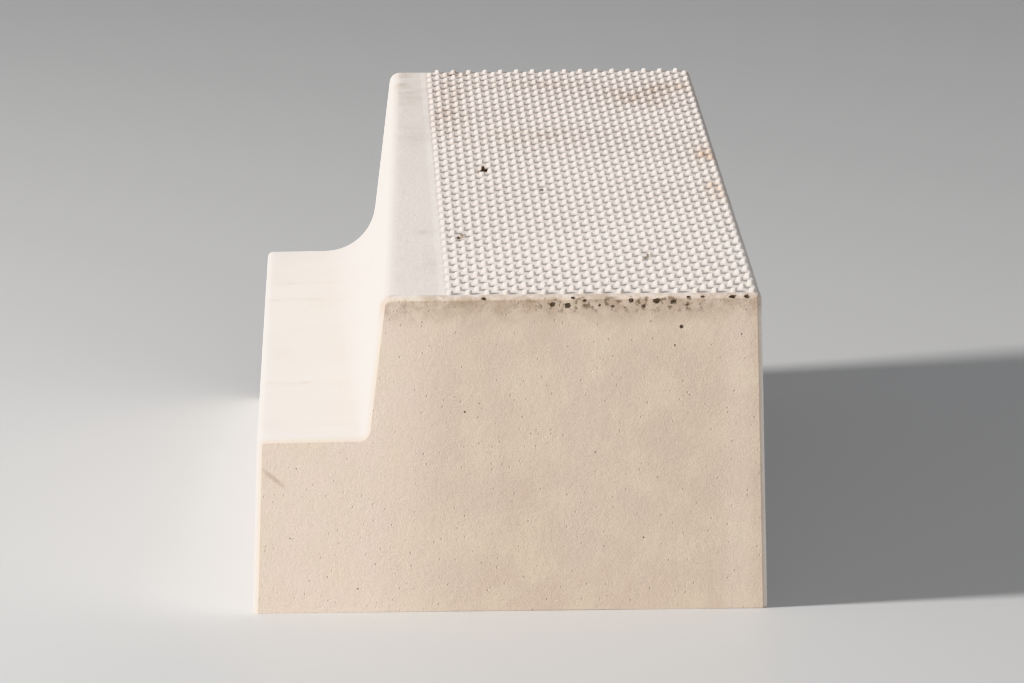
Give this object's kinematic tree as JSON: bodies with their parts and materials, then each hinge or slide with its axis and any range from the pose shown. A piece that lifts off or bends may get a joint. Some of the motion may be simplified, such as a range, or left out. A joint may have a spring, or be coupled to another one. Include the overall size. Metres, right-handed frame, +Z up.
{
  "type": "concrete bus stop transition kerb stone",
  "caption": "Concrete guide kerb stone for a bus stop: a tyre foot, a steep face on a hollow curve, and a studded tread that slopes down from its high end to its low end.",
  "frame": {"origin": "middle of the bed, at the level that the stone rests on", "axes": "+X across the stone from the road to the footway, +Y along it from the low end to the high end, +Z up"},
  "size_m": [0.435, 1, 0.33],
  "materials": {
    "concrete": "matte"
  },
  "bodies": {
    "root": {"kerb_stone": "concrete"}
  },
  "joints": []
}
